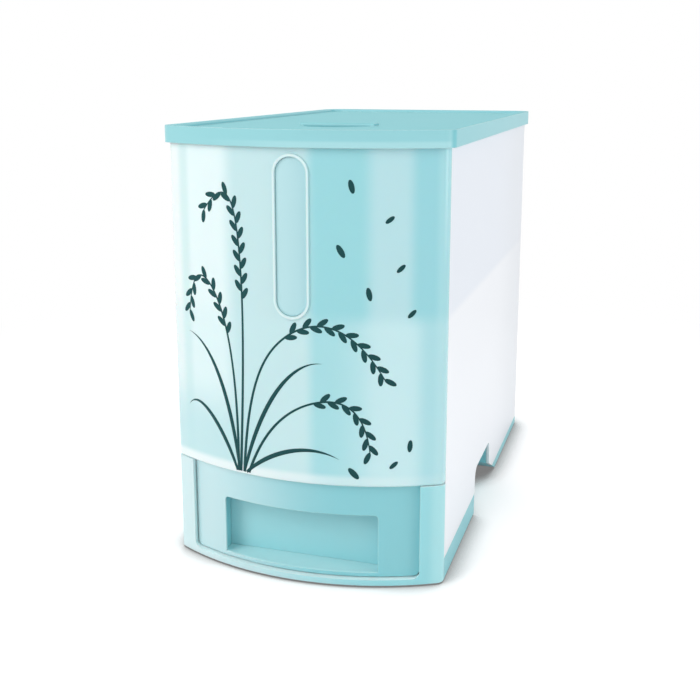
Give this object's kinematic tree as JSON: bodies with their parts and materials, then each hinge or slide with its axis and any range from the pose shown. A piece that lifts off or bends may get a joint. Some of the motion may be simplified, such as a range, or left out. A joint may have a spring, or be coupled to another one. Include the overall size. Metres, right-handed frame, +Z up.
{
  "type": "rice storage bin",
  "caption": "Slim upright rice bin with a bowed front, a level window, a lift-off lid with a finger dish, a sloped hopper inside and a pull-out drawer that dispenses the rice.",
  "frame": {"origin": "on the surface that the bin stands on, under the middle of its box", "axes": "+Z up, front with the drawer faces -Y, +X to the right as seen from the front"},
  "size_m": [0.217, 0.415, 0.3308],
  "materials": {
    "white_plastic": "gloss",
    "aqua_front": "gloss, slightly translucent",
    "aqua_plastic": "satin gloss",
    "drawer_plastic": "satin gloss",
    "window_plastic": "clear gloss",
    "hopper_plastic": "satin",
    "foot_rubber": "matt",
    "seal_silicone": "matt",
    "screw_steel": "zinc plated"
  },
  "bodies": {
    "bin": {"body_shell": "white_plastic", "front_panel": "aqua_front", "level_window": "window_plastic", "drawer_surround": "aqua_plastic", "base_tray": "aqua_plastic", "hopper": "hopper_plastic", "foot_front_left": "foot_rubber", "foot_front_right": "foot_rubber", "foot_rear_left": "foot_rubber", "foot_rear_right": "foot_rubber", "base_screws": "screw_steel", "surround_screws": "screw_steel"},
    "drawer": {"drawer_tray": "drawer_plastic", "drawer_front": "aqua_plastic", "shutter_plate": "hopper_plastic", "drawer_front_screws": "screw_steel", "shutter_screws": "screw_steel"},
    "lid": {"lid": "aqua_plastic", "lid_seal": "seal_silicone"}
  },
  "joints": [
    {"name": "drawer_slide", "type": "slide", "parent": "bin", "child": "drawer", "axis": [0, -1, 0], "range_m": [0, 0.12]},
    {"name": "lid_lift", "type": "slide", "parent": "bin", "child": "lid", "axis": [0, 0, 1], "range_m": [0, 0.12]}
  ]
}
